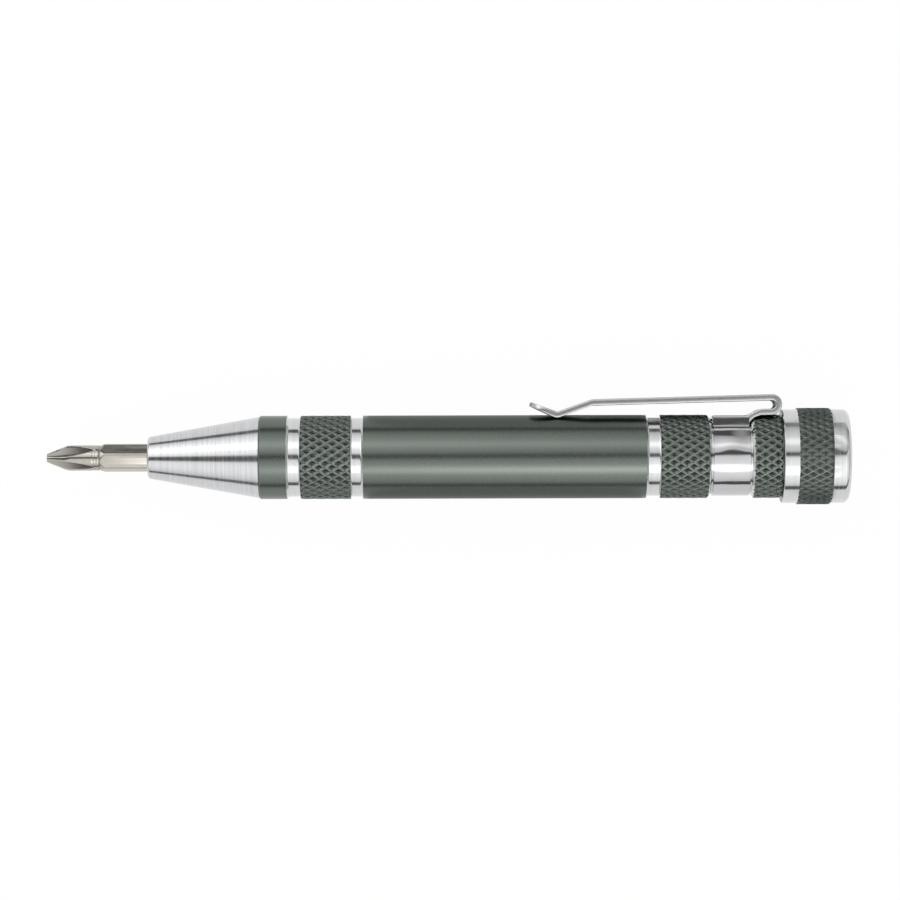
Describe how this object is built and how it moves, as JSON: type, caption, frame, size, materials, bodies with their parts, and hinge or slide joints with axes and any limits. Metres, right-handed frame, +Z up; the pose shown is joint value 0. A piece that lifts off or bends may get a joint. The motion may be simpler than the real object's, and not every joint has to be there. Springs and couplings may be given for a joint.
{
  "type": "pocket screwdriver",
  "caption": "Slim pocket screwdriver with a knurled metal barrel that stores hexagon bits behind a screw cap, a cone nose with a magnetic bit socket and a sprung pocket clip.",
  "frame": {"origin": "on the tool's axis at the nose's front face, in the mouth of the hexagon socket", "axes": "+X along the tool's axis from the nose to the cap, so the fitted bit points to -X; +Y out to the pocket clip; +Z up, towards the camera of the picture"},
  "size_m": [0.1258, 0.0175, 0.0152],
  "materials": {
    "anodised_aluminium": "satin anodised, gunmetal grey, diamond knurl",
    "bare_aluminium": "fine turned, bare",
    "plated_clip": "bright nickel plate",
    "bit_steel": "satin nickel-plated tool steel",
    "magnet": "plated magnet",
    "pad_foam": "matt foam"
  },
  "bodies": {
    "barrel": {"barrel": "anodised_aluminium", "nose_cone": "bare_aluminium", "bit_magnet": "magnet"},
    "driver_bit": {"cross_bit_2": "bit_steel"},
    "clip_collar": {"clip_collar": "plated_clip"},
    "clip_arm": {"clip_arm": "plated_clip"},
    "cap_pad": {"cap_pad": "pad_foam"},
    "cap": {"cap": "anodised_aluminium"},
    "column_a": {"cross_bit_1": "bit_steel", "slot_bit_4": "bit_steel", "slot_bit_3": "bit_steel"},
    "column_b": {"cross_bit_0": "bit_steel", "slot_bit_2": "bit_steel"},
    "column_c": {"cross_bit_00": "bit_steel", "slot_bit_1": "bit_steel"}
  },
  "joints": [
    {"name": "bit_pull", "type": "slide", "parent": "barrel", "child": "driver_bit", "axis": [-1, 0, 0], "range_m": [0, 0.014]},
    {"name": "clip_turn", "type": "hinge", "parent": "barrel", "child": "clip_collar", "pos_m": [0.09137, 0, 0], "axis": [1, 0, 0], "continuous": true},
    {"name": "clip_flex", "type": "hinge", "parent": "clip_collar", "child": "clip_arm", "pos_m": [0.09759, 0.00991, 0], "axis": [0, 0, -1], "range_deg": [0, 5], "stiffness_Nm_per_rad": 2.2, "springref_deg": -1.15},
    {"name": "cap_advance", "type": "slide", "parent": "barrel", "child": "cap_pad", "axis": [1, 0, 0], "range_m": [0, 0.008]},
    {"name": "cap_turn", "type": "hinge", "parent": "cap_pad", "child": "cap", "pos_m": [0.10442, 0, 0], "axis": [1, 0, 0], "range_deg": [0, 2880]},
    {"name": "column_a_slide", "type": "slide", "parent": "barrel", "child": "column_a", "axis": [1, 0, 0], "range_m": [0, 0.0009]},
    {"name": "column_b_slide", "type": "slide", "parent": "barrel", "child": "column_b", "axis": [1, 0, 0], "range_m": [0, 0.029]},
    {"name": "column_c_slide", "type": "slide", "parent": "barrel", "child": "column_c", "axis": [1, 0, 0], "range_m": [0, 0.029]}
  ],
  "couplings": [
    {"joint": "cap_turn", "follows": "cap_advance", "rad_per_m": 6283.2}
  ]
}
